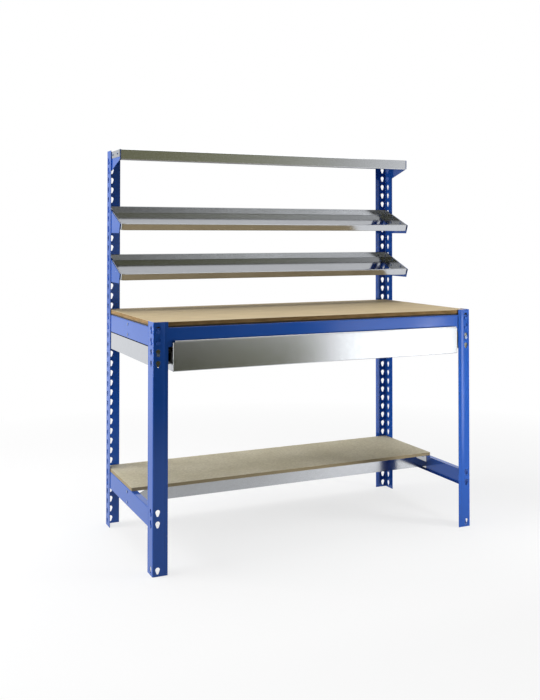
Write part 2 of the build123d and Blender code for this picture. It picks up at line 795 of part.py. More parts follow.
def main():
    os.makedirs("parts", exist_ok=True)
    for name, shape in (("front_left_post", front_left_post()), ("rear_left_post", rear_left_post())):
        save(name, shape)
        save(name.replace("left", "right"), flipped(shape))
    beams = [("front", "top", top_beam_foot), ("rear", "top", top_beam_foot), ("left", "top", top_beam_foot),
             ("right", "top", top_beam_foot), ("rear", "lower", low_beam_foot), ("left", "lower", low_beam_foot),
             ("right", "lower", low_beam_foot)]
    for side, level, foot in beams:
        shape, rivets = beam_and_rivets(side, foot)
        save(f"{side}_{level}_beam", shape)
        save(f"{side}_{level}_beam_rivets", rivets)
    save("worktop", worktop())
    save("worktop_bar", cross_bar(top_beam_foot))
    save("worktop_bar_rivets", cross_bar_rivets(top_beam_foot))
    save("lower_shelf_board", lower_board())
    save("lower_shelf_bar", cross_bar(low_beam_foot))
    save("lower_shelf_bar_rivets", cross_bar_rivets(low_beam_foot))
    save_pair("drawer_guide", left_guide())
    save("drawer_guide_bolts", guide_bolts())
    save("drawer_guide_nuts", guide_nuts())
    save_pair("slide_outer_channel", left_slide_outer())
    save_pair("slide_inner_channel", left_slide_inner())
    save_pair("slide_ball_cage", left_slide_cage())
    save_pair("slide_balls", left_slide_balls())
    save("slide_outer_rivets", outer_slide_rivets())
    save("slide_inner_rivets", inner_slide_rivets())
    save("drawer_tray", drawer_tray())
    save("drawer_front", drawer_front())
    save("drawer_front_rivets", drawer_front_rivets())
    for name, row in (("upper_tray", upper_tray_row), ("lower_tray", lower_tray_row)):
        save(name, tray(row))
        save_pair(f"{name}_bracket", left_tray_bracket(row))
        save(f"{name}_bracket_rivets", bracket_rivets((row, row + bracket_rivet_rows)))
        save(f"{name}_screws", tray_screws(row))
    save("top_shelf", top_shelf())
    save_pair("top_shelf_bracket", left_shelf_bracket())
    save("top_shelf_bracket_rivets", bracket_rivets((shelf_row, top_row)))
    save("top_shelf_screws", top_shelf_screws())


main()
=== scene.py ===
import bpy
import bmesh
import json
import math
from mathutils import Matrix, Vector


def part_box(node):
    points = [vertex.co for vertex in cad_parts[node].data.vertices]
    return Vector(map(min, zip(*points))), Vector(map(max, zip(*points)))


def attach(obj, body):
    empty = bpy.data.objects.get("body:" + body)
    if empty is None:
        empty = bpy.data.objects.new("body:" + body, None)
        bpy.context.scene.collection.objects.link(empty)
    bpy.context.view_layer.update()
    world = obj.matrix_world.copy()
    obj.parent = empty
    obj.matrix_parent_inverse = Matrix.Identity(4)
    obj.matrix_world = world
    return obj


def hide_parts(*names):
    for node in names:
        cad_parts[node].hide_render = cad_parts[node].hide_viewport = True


# A boltless workbench: blue keyhole posts and channel beams, fibreboard top, chipboard shelf,
# galvanised drawer, shelf and trays. Everything is in metres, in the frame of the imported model.

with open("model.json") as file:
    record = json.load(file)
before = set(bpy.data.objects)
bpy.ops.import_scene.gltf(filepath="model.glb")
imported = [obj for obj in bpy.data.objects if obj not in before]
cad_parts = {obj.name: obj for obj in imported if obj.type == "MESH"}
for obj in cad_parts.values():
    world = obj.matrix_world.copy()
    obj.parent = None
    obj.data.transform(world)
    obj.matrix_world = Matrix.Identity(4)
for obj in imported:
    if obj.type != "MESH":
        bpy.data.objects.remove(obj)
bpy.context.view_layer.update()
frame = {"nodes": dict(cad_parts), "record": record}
nodes = frame["nodes"]

MM = 0.001
DEG = math.pi / 180
WHITE = (1, 1, 1, 1)

# Camera, found from the posts, beams and boards in the photograph
PHOTO_WIDTH = 540
PHOTO_HEIGHT = 700
FOCAL_PX = 925.87
CENTRE_X_PX = 300.10
CENTRE_Y_PX = 217.42
CAMERA_YAW = 25.53 * DEG
CAMERA_PITCH = 1.09 * DEG
CAMERA_FROM_CORNER = Vector((-848.92, -2860.58, 1082.92)) * MM    # from the foot of the front left post

# Finish of the sheet edges and folds
WELD = 0.00001
FOLD_ANGLE = 35 * DEG
FLAT_FACE_WEIGHT = 100

# Runs of a texture's value that are spread from nought to one
WHOLE = (0.0, 1.0)
WIDE = (0.3, 0.7)
NARROW = (0.35, 0.65)

# Textures are given by their cells in a metre, with their stretch along each axis
PLAIN_DETAIL = 3.0
PLAIN_ROUGH = 0.5
UNSTRETCHED = (1, 1, 1)

# Places of the inputs and outputs of a mix of two colours, and of one of two numbers
FIRST_COLOUR = 6
SECOND_COLOUR = 7
MIXED_COLOUR = 2
FIRST_NUMBER = 2
SECOND_NUMBER = 3

# Powder coat, and the same on rivet heads
PAINT_BLUE = (0.013, 0.088, 0.42, 1)
PAINT_WORN = (0.020, 0.105, 0.46, 1)
PAINT_METAL = 0.2
PAINT_ROUGH = 0.22
PAINT_COAT = 0.6
COAT_ROUGH = 0.06
RIVET_COAT_ROUGH = 0.22
PAINT_DRIFT = dict(scale=5.0, detail=2.0)
PAINT_DRIFT_SHARE = 0.35
RUBBED = dict(scale=38.0, detail=6.0, rough=0.65, stretch=(1, 1, 3))
RUBBED_RUN = (0.66, 0.74)
RUBBED_SHARE = 0.30
RUBBED_ROUGHER = 0.10
PAINT_CLOUD = dict(scale=24.0, detail=4.0)
CLOUD_SMOOTHER = 0.02
CLOUD_ROUGHER = 0.03
PEEL = dict(scale=700.0, detail=2.0)
PEEL_DEPTH = 0.02 * MM
PEEL_STRENGTH = 0.2

# Zinc-coated sheet, and the darker steel of the drawer slides
ZINC = (0.42, 0.425, 0.43, 1)
ZINC_DARK = (0.35, 0.355, 0.36, 1)
ZINC_ROUGH = 0.125
GUIDE_ROUGH = 0.06
SLIDE_STEEL = (0.12, 0.12, 0.125, 1)
SLIDE_DARK = (0.08, 0.08, 0.085, 1)
SLIDE_ROUGH = 0.22
SPANGLE = 85.0
SLIDE_SPANGLE = 240.0
SPANGLE_SHARE = 0.22
SPANGLE_ROUGHER = 0.006
ROLLED_ALONG_X = (1, 9, 9)
ROLLED_ALONG_Y = (9, 1, 9)
STREAK = dict(scale=60.0, detail=4.0, rough=0.6)
STREAK_ROUGHER = (-0.006, 0.010)
STAIN = dict(scale=7.0, detail=3.0)
STAIN_RUN = (0.52, 0.72)
STAIN_SHARE = 0.20
STAIN_ROUGHER = 0.006

# Plated rivets, screws and bolts, and the slides' balls
PLATE = (0.25, 0.30, 0.43, 1)
PLATE_DULL = (0.18, 0.22, 0.32, 1)
PLATE_ROUGH = 0.24
BALL_STEEL = (0.78, 0.78, 0.78, 1)
BALL_DULL = (0.66, 0.66, 0.66, 1)
BALL_ROUGH = 0.06
MARKS = dict(scale=600.0, detail=4.0, rough=0.6)
MARKS_SHARE = 0.35
MARKS_ROUGHER = 0.14

# Cut edge of a level board: upward share of the normal at which the face begins and the edge ends
FACE_TO_EDGE = (0.75, 0.35)

# Worktop board
TOP_TAN = (0.44, 0.345, 0.20, 1)
TOP_PALE = (0.52, 0.42, 0.25, 1)
TOP_FIBRE = (0.34, 0.25, 0.15, 1)
TOP_FLECK = (0.24, 0.17, 0.10, 1)
TOP_EDGE = (0.15, 0.095, 0.032, 1)
TOP_LAYER = (0.34, 0.21, 0.09, 1)
TOP_PAINTED_SHADOW = (0.03, 0.025, 0.02, 1)     # foot of the worktop's edge, painted dark as the shadow where the board meets the beam
TOP_SHADOW_HEIGHT = 4.5 * MM                     # height of the painted shadow along the edge's foot
TOP_SHADOW_FADE = 2 * MM
TOP_ROUGH = (0.66, 0.80)
TOP_SPECULAR = 0.25
TOP_MOTTLE = dict(scale=9.0, detail=5.0, rough=0.6, stretch=(1, 2.2, 1))
FIBRE = dict(scale=420.0, detail=3.0, rough=0.6, stretch=(0.35, 1, 1))
FIBRE_SHARE = 0.22
FIBRE_DEPTH = 0.05 * MM
FIBRE_STRENGTH = 0.4
FLECK = dict(scale=900.0, detail=2.0)
FLECK_RUN = (0.60, 0.72)
FLECK_SHARE = 0.35
LAYER = dict(scale=260.0, detail=4.0, rough=0.6, stretch=(0.08, 0.08, 1.6))

# Lower shelf board
SHELF_TAN = (0.56, 0.51, 0.365, 1)
SHELF_PALE = (0.65, 0.60, 0.455, 1)
SHELF_FLAKE = (0.30, 0.24, 0.15, 1)
SHELF_DUST = (0.60, 0.54, 0.42, 1)
SHELF_EDGE = (0.27, 0.22, 0.125, 1)
SHELF_CRUMB = (0.33, 0.27, 0.17, 1)
SHELF_ROUGH = 0.82
SHELF_SPECULAR = 0.2
SHELF_MOTTLE = dict(scale=6.0, detail=4.0)
FLAKE = dict(scale=210.0, stretch=(0.7, 1, 1))
FLAKE_SHARE = 0.35
DUST = dict(scale=650.0, detail=3.0)
DUST_RUN = (0.55, 0.75)
DUST_SHARE = 0.3
CRUMB = dict(scale=520.0, detail=4.0, rough=0.7)
CRUMB_DEPTH = 0.15 * MM
CRUMB_STRENGTH = 0.5


# Shading helpers

class Shader:
    """One material and short ways to add nodes to it."""

    def __init__(self, name):
        self.material = bpy.data.materials.new(name)
        self.material.use_nodes = True
        self.tree = self.material.node_tree
        self.bsdf = self.tree.nodes["Principled BSDF"]
        self.place = self.tree.nodes.new("ShaderNodeTexCoord").outputs["Object"]

    def put(self, node, socket, value):
        if isinstance(value, bpy.types.NodeSocket):
            self.tree.links.new(value, node.inputs[socket])
        else:
            node.inputs[socket].default_value = value

    def node(self, kind, values, **settings):
        made = self.tree.nodes.new(kind)
        for key, value in settings.items():
            setattr(made, key, value)
        for socket, value in values.items():
            self.put(made, socket, value)
        return made

    def stretched(self, stretch):
        """The object's own coordinates, stretched along each axis."""
        values = {0: self.place, 1: stretch}
        return self.node("ShaderNodeVectorMath", values, operation="MULTIPLY").outputs[0]

    def noise(self, scale, detail=PLAIN_DETAIL, rough=PLAIN_ROUGH, stretch=UNSTRETCHED):
        values = {"Vector": self.stretched(stretch), "Scale": scale, "Detail": detail, "Roughness": rough}
        return self.node("ShaderNodeTexNoise", values).outputs["Fac"]

    def cell_tone(self, channel, scale, stretch=UNSTRETCHED):
        """One tone for each cell, the same all over it."""
        cells = self.node("ShaderNodeTexVoronoi", {"Vector": self.stretched(stretch), "Scale": scale})
        return self.node("ShaderNodeSeparateColor", {0: cells.outputs["Color"]}).outputs[channel]

    def ramp(self, value, low, high, to_low=0.0, to_high=1.0):
        values = {"Value": value, "From Min": low, "From Max": high, "To Min": to_low, "To Max": to_high}
        return self.node("ShaderNodeMapRange", values).outputs[0]

    def mix(self, share, first, second):
        values = {"Factor": share, FIRST_COLOUR: first, SECOND_COLOUR: second}
        return self.node("ShaderNodeMix", values, data_type="RGBA").outputs[MIXED_COLOUR]

    def math(self, operation, first, second=0.0):
        return self.node("ShaderNodeMath", {0: first, 1: second}, operation=operation).outputs[0]

    def bump(self, height, distance, strength):
        values = {"Height": height, "Distance": distance, "Strength": strength}
        return self.node("ShaderNodeBump", values).outputs[0]

    def rays(self):
        """Whether a ray comes from the camera, and whether it comes from a mirror or through glass."""
        ray = self.tree.nodes.new("ShaderNodeLightPath").outputs
        return ray["Is Camera Ray"], self.math("MAXIMUM", ray["Is Glossy Ray"], ray["Is Transmission Ray"])

    def shine(self, **values):
        """Set the surface shader's sockets, named with underscores for spaces."""
        for name, value in values.items():
            self.put(self.bsdf, name.replace("_", " "), value)
        return self.material


class WorldShader(Shader):
    """The same for the world, where the place is the direction that is looked in."""

    def __init__(self, name):
        self.world = bpy.data.worlds.new(name)
        self.world.use_nodes = True
        self.tree = self.world.node_tree
        self.place = self.tree.nodes.new("ShaderNodeTexCoord").outputs["Generated"]

    def blend(self, share, first, second):
        values = {0: share, FIRST_NUMBER: first, SECOND_NUMBER: second}
        return self.node("ShaderNodeMix", values, data_type="FLOAT").outputs[0]

    def steps(self, angle, stops):
        """Smooth run through stops of (degrees, brightness)."""
        first, last = stops[0][0], stops[-1][0]
        ramp = self.node("ShaderNodeValToRGB", {0: self.ramp(angle, first * DEG, last * DEG)})
        points = ramp.color_ramp.elements
        for degrees, brightness in stops:
            share = (degrees - first) / (last - first)
            point = points[0] if share == 0 else points[-1] if share == 1 else points.new(share)
            point.color = [brightness / ROOM_PEAK] * 3 + [1]
        return self.math("MULTIPLY", ramp.outputs[0], ROOM_PEAK)


def blue_paint(name, coat_rough=COAT_ROUGH):
    """Powder coat: fine orange peel, a slow drift of tone, and small rubbed marks."""
    s = Shader(name)
    drift = s.ramp(s.noise(**PAINT_DRIFT), *NARROW)
    rubbed = s.ramp(s.noise(**RUBBED), *RUBBED_RUN)
    colour = s.mix(s.math("MULTIPLY", drift, PAINT_DRIFT_SHARE), PAINT_BLUE, PAINT_WORN)
    colour = s.mix(s.math("MULTIPLY", rubbed, RUBBED_SHARE), colour, PAINT_WORN)
    cloud = s.ramp(s.noise(**PAINT_CLOUD), *WIDE, coat_rough - CLOUD_SMOOTHER, coat_rough + CLOUD_ROUGHER)
    roughness = s.math("ADD", cloud, s.math("MULTIPLY", rubbed, RUBBED_ROUGHER))
    peel = s.bump(s.noise(**PEEL), PEEL_DEPTH, PEEL_STRENGTH)
    return s.shine(Base_Color=colour, Metallic=PAINT_METAL, Roughness=PAINT_ROUGH, Specular_IOR_Level=0.0,
                   Normal=peel, Coat_Weight=PAINT_COAT, Coat_Roughness=roughness)


def galvanised(name, rough=ZINC_ROUGH, along=ROLLED_ALONG_X, spangle=SPANGLE, light=ZINC, dark=ZINC_DARK):
    """Zinc-coated sheet: soft spangle, rolling streaks and a few dull stains."""
    s = Shader(name)
    tone = s.cell_tone("Red", spangle)
    streak = s.noise(**STREAK, stretch=along)
    stain = s.ramp(s.noise(**STAIN), *STAIN_RUN)
    colour = s.mix(s.ramp(tone, *WHOLE, 0.0, SPANGLE_SHARE), light, dark)
    colour = s.mix(s.math("MULTIPLY", stain, STAIN_SHARE), colour, dark)
    roughness = s.math("ADD", s.ramp(tone, *WHOLE, rough - SPANGLE_ROUGHER, rough + SPANGLE_ROUGHER),
                       s.ramp(streak, *WIDE, *STREAK_ROUGHER))
    roughness = s.math("ADD", roughness, s.math("MULTIPLY", stain, STAIN_ROUGHER))
    return s.shine(Base_Color=colour, Metallic=1.0, Roughness=roughness)


def edge_share(s):
    """One on the cut edges of a level board, nought on its faces."""
    normal = s.node("ShaderNodeNewGeometry", {}).outputs["Normal"]
    up = s.node("ShaderNodeSeparateXYZ", {0: normal}).outputs["Z"]
    return s.ramp(s.math("ABSOLUTE", up), *FACE_TO_EDGE)


def fibreboard(name):
    """Sanded worktop board: fine fibres, faint mottling, a darker layered edge, and a painted shadow along
    the edge's foot.
    """
    s = Shader(name)
    mottle = s.noise(**TOP_MOTTLE)
    fibre = s.noise(**FIBRE)
    fleck = s.ramp(s.noise(**FLECK), *FLECK_RUN)
    face = s.mix(s.ramp(mottle, *NARROW), TOP_TAN, TOP_PALE)
    face = s.mix(s.ramp(fibre, *NARROW, 0.0, FIBRE_SHARE), face, TOP_FIBRE)
    face = s.mix(s.math("MULTIPLY", fleck, FLECK_SHARE), face, TOP_FLECK)
    edge = s.mix(s.ramp(s.noise(**LAYER), *NARROW), TOP_EDGE, TOP_LAYER)
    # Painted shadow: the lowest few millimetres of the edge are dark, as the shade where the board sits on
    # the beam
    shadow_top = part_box("worktop")[0].z + TOP_SHADOW_HEIGHT
    height = s.node("ShaderNodeSeparateXYZ", {0: s.place}).outputs["Z"]
    edge = s.mix(s.ramp(height, shadow_top, shadow_top + TOP_SHADOW_FADE), TOP_PAINTED_SHADOW, edge)
    colour = s.mix(edge_share(s), face, edge)
    relief = s.bump(fibre, FIBRE_DEPTH, FIBRE_STRENGTH)
    return s.shine(Base_Color=colour, Roughness=s.ramp(mottle, *WIDE, *TOP_ROUGH),
                   Specular_IOR_Level=TOP_SPECULAR, Normal=relief)


def chipboard(name):
    """Raw particle board: pressed flakes of several tones and a coarse dark edge."""
    s = Shader(name)
    tone = s.cell_tone("Green", **FLAKE)
    face = s.mix(s.ramp(s.noise(**SHELF_MOTTLE), *NARROW), SHELF_TAN, SHELF_PALE)
    face = s.mix(s.ramp(tone, *WHOLE, 0.0, FLAKE_SHARE), face, SHELF_FLAKE)
    dust = s.ramp(s.noise(**DUST), *DUST_RUN)
    face = s.mix(s.math("MULTIPLY", dust, DUST_SHARE), face, SHELF_DUST)
    crumb = s.noise(**CRUMB)
    edge = s.mix(s.ramp(crumb, *NARROW), SHELF_EDGE, SHELF_CRUMB)
    colour = s.mix(edge_share(s), face, edge)
    relief = s.bump(crumb, CRUMB_DEPTH, CRUMB_STRENGTH)
    return s.shine(Base_Color=colour, Roughness=SHELF_ROUGH, Specular_IOR_Level=SHELF_SPECULAR, Normal=relief)


def plated(name, bright=PLATE, dull=PLATE_DULL, rough=PLATE_ROUGH):
    """Bright steel with handling marks."""
    s = Shader(name)
    marks = s.noise(**MARKS)
    colour = s.mix(s.ramp(marks, *NARROW, 0.0, MARKS_SHARE), bright, dull)
    roughness = s.ramp(marks, *WIDE, rough, rough + MARKS_ROUGHER)
    return s.shine(Base_Color=colour, Metallic=1.0, Roughness=roughness)


materials = {
    "blue_paint": blue_paint("blue_powder_coat"),
    "hook_rivets": blue_paint("blue_rivet_paint", RIVET_COAT_ROUGH),
    "galvanised": galvanised("galvanised_sheet"),
    "worktop_board": fibreboard("sanded_fibreboard"),
    "shelf_board": chipboard("raw_chipboard"),
    "zinc_fasteners": plated("zinc_plate"),
    "slide_steel": galvanised("slide_steel", SLIDE_ROUGH, ROLLED_ALONG_Y, SLIDE_SPANGLE,
                              SLIDE_STEEL, SLIDE_DARK),
    "slide_balls": plated("bearing_steel", BALL_STEEL, BALL_DULL, BALL_ROUGH),
}

# Drawer guides and their bolts, seen through the front posts' keyholes, are smoother than their kind
smooth_sheet = galvanised("smooth_sheet", GUIDE_ROUGH)
own_finish = {
    "left_drawer_guide": smooth_sheet,
    "right_drawer_guide": smooth_sheet,
    "drawer_guide_bolts": plated("smooth_plate", rough=GUIDE_ROUGH),
}


# Carried-over pieces get their finish and smooth folds

def smooth_folds():
    """Modifier tree that smooths the folds and round faces, and keeps every sharper edge."""
    tree = bpy.data.node_groups.new("smooth_folds", "GeometryNodeTree")
    tree.interface.new_socket("Geometry", in_out="INPUT", socket_type="NodeSocketGeometry")
    tree.interface.new_socket("Geometry", in_out="OUTPUT", socket_type="NodeSocketGeometry")
    start = tree.nodes.new("NodeGroupInput")
    faces = tree.nodes.new("GeometryNodeSetShadeSmooth")
    angle = tree.nodes.new("GeometryNodeInputMeshEdgeAngle")
    soft = tree.nodes.new("FunctionNodeCompare")
    soft.operation = "LESS_THAN"
    soft.inputs["B"].default_value = FOLD_ANGLE
    edges = tree.nodes.new("GeometryNodeSetShadeSmooth")
    edges.domain = "EDGE"
    end = tree.nodes.new("NodeGroupOutput")
    tree.links.new(start.outputs[0], faces.inputs["Geometry"])
    tree.links.new(faces.outputs[0], edges.inputs["Geometry"])
    tree.links.new(angle.outputs["Unsigned Angle"], soft.inputs["A"])
    tree.links.new(soft.outputs[0], edges.inputs["Shade Smooth"])
    tree.links.new(edges.outputs[0], end.inputs[0])
    return tree


fold_tree = smooth_folds()


def smooth_piece(piece):
    weld = piece.modifiers.new("weld", "WELD")
    weld.merge_threshold = WELD
    piece.modifiers.new("smooth_folds", "NODES").node_group = fold_tree
    weighted = piece.modifiers.new("flat_faces_stay_flat", "WEIGHTED_NORMAL")
    weighted.keep_sharp = True
    weighted.weight = FLAT_FACE_WEIGHT


def dress(node, slot):
    piece = nodes[node]
    piece.data.materials.clear()
    piece.data.materials.append(own_finish.get(node, materials[slot]))
    smooth_piece(piece)


for row in frame["record"]["subparts"]:
    dress(row["node"], row["material_slot"])


# Folded sheets, with rounded folds, hems and corner tabs

SHEET = 1.0 * MM
HALF_SHEET = SHEET / 2
FOLD = 2.0 * MM                 # radius at the middle of the sheet
FOLD_STEPS = 5
FOLD_FOOT = HALF_SHEET + FOLD   # outer face to the end of a fold
TRAY_TILT = 21.5 * DEG
TRAY_WALL = 26.0 * MM
TRAY_HEM = 5.0 * MM
TRAY_REAR_LEAN = 1.5 * DEG      # rear wall opened a little past square
TRAY_SIDE_HEM = 3.5 * MM
TRAY_TAB = 18.0 * MM            # side wall turned in behind the front wall
TRAY_TAB_ROUND = 8.0 * MM
TRAY_CORNER_GAP = 10.5 * MM     # tray side to the end of the front wall
SHELF_FRONT_LIP = 38.0 * MM
SHELF_SIDE_LIP = 27.0 * MM
SHELF_REAR_LIP = 26.0 * MM
SHELF_HEM = 6.0 * MM
SHELF_CORNER_GAP = 5.5 * MM
SHELF_POST_GAP = 53.0 * MM      # end of the side lip to the rear of the deck
DRAWER_FACE = 2.0 * MM          # bead along the drawer's top, standing out from its face
DRAWER_BEAD = 4.0 * MM
DRAWER_BEAD_FOLD = 0.8 * MM
DRAWER_NOTCH = 6.0 * MM
DRAWER_RETURN = 11.0 * MM


def rounded(points, radius=FOLD):
    """A path through the points, each corner between its ends turned into an arc."""
    points = [Vector(p) for p in points]
    path = [points[0]]
    for before, corner, after in zip(points, points[1:], points[2:]):
        back = (before - corner).normalized()
        on = (after - corner).normalized()
        half = back.angle(on) / 2
        start = corner + back * radius / math.tan(half)
        centre = corner + (back + on).normalized() * radius / math.sin(half)
        spoke = start - centre
        turn = (math.pi - 2 * half) * (-1 if back.cross(on) > 0 else 1)
        for i in range(FOLD_STEPS + 1):
            angle = turn * i / FOLD_STEPS
            path.append(centre + Matrix.Rotation(angle, 2) @ spoke)
    return path + [points[-1]]


def add_strip(made, path, place, start, end):
    """Sweep a sheet, centred on a flat path, from start to end."""
    sides = []
    for i, point in enumerate(path):
        ahead = (path[min(i + 1, len(path) - 1)] - path[max(i - 1, 0)]).normalized()
        across = Vector((-ahead.y, ahead.x)) * SHEET / 2
        sides.append((point + across, point - across))
    rings = [[[made.verts.new(place(p.x, p.y, s)) for p in pair] for pair in sides] for s in (start, end)]
    near, far = rings
    for i in range(len(path) - 1):
        for k in (0, 1):
            made.faces.new((near[i][k], near[i + 1][k], far[i + 1][k], far[i][k]))
        for ring in rings:
            made.faces.new((ring[i][0], ring[i + 1][0], ring[i + 1][1], ring[i][1]))
    for i in (0, -1):
        made.faces.new((near[i][0], near[i][1], far[i][1], far[i][0]))


def along_x(a, b, s):
    """Place of a strip that runs across the bench, its path seen from the side."""
    return Vector((s, a, b))


def both_ends(low, high):
    """Each end of a piece along x, with the way that leads inward from it."""
    return (low.x, 1), (high.x, -1)


def into_scene(name, data):
    thing = bpy.data.objects.new(name, data)
    bpy.context.scene.collection.objects.link(thing)
    return thing


def mesh_into_scene(name, made, material):
    mesh = bpy.data.meshes.new(name)
    made.to_mesh(mesh)
    made.free()
    mesh.materials.append(material)
    return into_scene(name, mesh)


def folded_piece(node, body, made):
    """Finish the strips as one piece of galvanised sheet that stands for the solid."""
    bmesh.ops.recalc_face_normals(made, faces=made.faces)
    piece = mesh_into_scene(node + "_sheet", made, materials["galvanised"])
    smooth_piece(piece)
    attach(piece, body)
    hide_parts(node)


def tray_piece(node):
    """Tilted tray: hemmed front and rear walls, and side walls with tabs behind the front wall."""
    low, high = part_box(node)
    rear_z = high.z - TRAY_WALL * math.cos(TRAY_TILT)
    depth = (rear_z - low.z) / math.sin(TRAY_TILT)

    def tilted(forward, up, x):
        return Vector((x, high.y - forward * math.cos(TRAY_TILT) - up * math.sin(TRAY_TILT),
                       rear_z - forward * math.sin(TRAY_TILT) + up * math.cos(TRAY_TILT)))

    made = bmesh.new()
    top = TRAY_WALL - HALF_SHEET
    front = depth - HALF_SHEET
    split = front - 2 * FOLD
    turn = front - SHEET - TRAY_TAB_ROUND - FOLD
    heel = HALF_SHEET + TRAY_WALL * math.tan(TRAY_REAR_LEAN)
    rear_path = rounded([(HALF_SHEET + TRAY_HEM, top), (HALF_SHEET, top), (heel, HALF_SHEET),
                         (split, HALF_SHEET)])
    add_strip(made, rear_path, tilted, low.x + FOLD_FOOT, high.x - FOLD_FOOT)
    front_path = rounded([(split, HALF_SHEET), (front, HALF_SHEET), (front, top), (front - TRAY_HEM, top)])
    add_strip(made, front_path, tilted, low.x + TRAY_CORNER_GAP, high.x - TRAY_CORNER_GAP)
    for edge, way in both_ends(low, high):
        wall = rounded([(FOLD_FOOT, HALF_SHEET), (HALF_SHEET, HALF_SHEET), (HALF_SHEET, top),
                        (HALF_SHEET + TRAY_SIDE_HEM, top)])
        add_strip(made, wall, lambda a, b, s: tilted(s, b, edge + way * a), SHEET, turn)
        tab = rounded([(HALF_SHEET, turn), (HALF_SHEET, front - SHEET), (TRAY_TAB, front - SHEET)],
                      TRAY_TAB_ROUND)
        add_strip(made, tab, lambda a, b, s: tilted(b, s, edge + way * a), FOLD_FOOT, TRAY_WALL)
    folded_piece(node, "root", made)


def shelf_piece(node):
    """Level shelf: deck with its lips turned down, the front lip hemmed."""
    low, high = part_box(node)
    deck = high.z - HALF_SHEET
    front = low.y + HALF_SHEET
    rear = high.y - HALF_SHEET
    split = low.y + 2 * FOLD_FOOT
    foot = high.z - SHELF_FRONT_LIP + HALF_SHEET
    made = bmesh.new()
    front_path = rounded([(split, deck), (front, deck), (front, foot), (low.y + SHELF_HEM, foot)])
    add_strip(made, front_path, along_x, low.x + SHELF_CORNER_GAP, high.x - SHELF_CORNER_GAP)
    rear_path = rounded([(split, deck), (rear, deck), (rear, high.z - SHELF_REAR_LIP)])
    add_strip(made, rear_path, along_x, low.x + FOLD_FOOT, high.x - FOLD_FOOT)
    for edge, way in both_ends(low, high):
        lip = rounded([(FOLD_FOOT, deck), (HALF_SHEET, deck), (HALF_SHEET, high.z - SHELF_SIDE_LIP)])
        add_strip(made, lip, lambda a, b, s: Vector((edge + way * a, s, b)), low.y + 2 * SHEET,
                  high.y - SHELF_POST_GAP)
    folded_piece(node, "root", made)


def drawer_front_piece(node):
    """Drawer front: bead along the top, folded ends, and a tongue under the drawer floor."""
    low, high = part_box(node)
    face = low.y + DRAWER_FACE + HALF_SHEET
    foot = low.z + HALF_SHEET
    notch = high.z - DRAWER_NOTCH
    top = high.z - HALF_SHEET
    made = bmesh.new()
    tongue = rounded([(high.y, foot), (face, foot), (face, notch)])
    add_strip(made, tongue, along_x, low.x + FOLD_FOOT, high.x - FOLD_FOOT)
    bead = rounded([(face, notch), (face, high.z - DRAWER_BEAD - HALF_SHEET),
                    (low.y + HALF_SHEET, high.z - DRAWER_BEAD), (low.y + HALF_SHEET, top),
                    (face + DRAWER_RETURN, top)], DRAWER_BEAD_FOLD)
    add_strip(made, bead, along_x, low.x + DRAWER_NOTCH, high.x - DRAWER_NOTCH)
    for edge, way in both_ends(low, high):
        end = rounded([(FOLD_FOOT, face), (HALF_SHEET, face), (HALF_SHEET, face + DRAWER_RETURN)])
        add_strip(made, end, lambda a, b, s: Vector((edge + way * a, b, s)), foot, notch)
    folded_piece(node, "drawer", made)


for tray in ("upper_tray", "lower_tray"):
    tray_piece(tray)
shelf_piece("top_shelf")
drawer_front_piece("drawer_front")


# Studio

# Brightness of the room all round, with one run for each band of heights, by azimuth in degrees from
# straight in front of the bench, right positive. Its stops were chosen so that the metal looks as it
# does in the photograph from the photograph's side, so this isn't a plain studio
ROOM_LOW = [(-80, 1.0), (-45, 0.08), (17, 0.06), (19, 0.08), (21, 0.13), (23, 0.17), (25, 0.15), (26.3, 0.25),
            (27.3, 0.80), (28.4, 2.5), (32.7, 2.5), (33.0, 7.5), (33.9, 7.5), (34.2, 2.3), (34.9, 1.7),
            (35.2, 0.3), (60, 0.3), (85, 1.0)]
ROOM_MID = [(-180, 0.60), (-130, 0.60), (-100, 1.0), (0, 1.0), (13, 0.60), (16, 0.85), (20, 1.5), (23, 2.1),
            (26, 2.1), (29, 1.6), (32, 1.5), (60, 1.1)]
ROOM_HIGH = [(-180, 0.75), (-130, 0.75), (-100, 1.0), (-80, 1.0), (-45, 0.24), (16, 0.24), (22, 0.34),
             (27, 0.55), (29.5, 0.66), (30.5, 1.0), (32, 1.1), (60, 1.0)]
ROOM_FLOOR = [(-80, 0.8), (-70, 1.2), (-50, 1.2), (-30, 0.68), (17, 0.68), (22, 0.74), (25, 0.90),
              (27.5, 1.30), (29, 1.15), (31, 0.85), (60, 0.85)]
ROOM_BELOW = [(-80, 0.8), (-70, 1.5), (-50, 1.3), (-30, 0.22), (26, 0.30), (29, 0.90), (33, 1.2), (60, 1.0)]
ROOM_PEAK = 7.5
ROOM_LEVEL = 1.19
ROOM_TOP = 0.75

# Heights of the looked-in direction, one being straight up, between which one run gives way to the next
LOW_TO_MID = (-0.088, -0.080)
MID_TO_HIGH = (0.0, 0.008)
LOW_TO_FLOOR = (-0.18, -0.24)
FLOOR_TO_BELOW = (-0.40, -0.52)
HIGH_TO_TOP = (0.18, 0.60)
ROOM_RUNS = [(LOW_TO_MID, ROOM_MID), (MID_TO_HIGH, ROOM_HIGH), (LOW_TO_FLOOR, ROOM_FLOOR),
             (FLOOR_TO_BELOW, ROOM_BELOW)]

# Tint of the room's dim and bright parts
ROOM_DIM = (1.0, 1.01, 0.60, 1)
ROOM_BRIGHT = (0.98, 1.0, 1.04, 1)
TINT_LEVELS = (0.30, 0.80)

# Share of the room's brightness that lights matt surfaces, and the lamps
WORLD_LEVEL = 0.26
TOP_LIGHT = dict(place=(0.0, 0.3, 3.4), aim=(0, 0, 0.8), width=3.2, height=2.4, power=76)
LEFT_LIGHT = dict(place=(-3.2, 0.5, 1.4), aim=(0, 0, 0.9), width=2.4, height=2.4, power=114)
RIGHT_LIGHT = dict(place=(1.7, -1.35, 0.6), aim=(0.5, -0.3, 0.35), width=0.6, height=0.9, power=4)
RIGHT_SPREAD = 50 * DEG

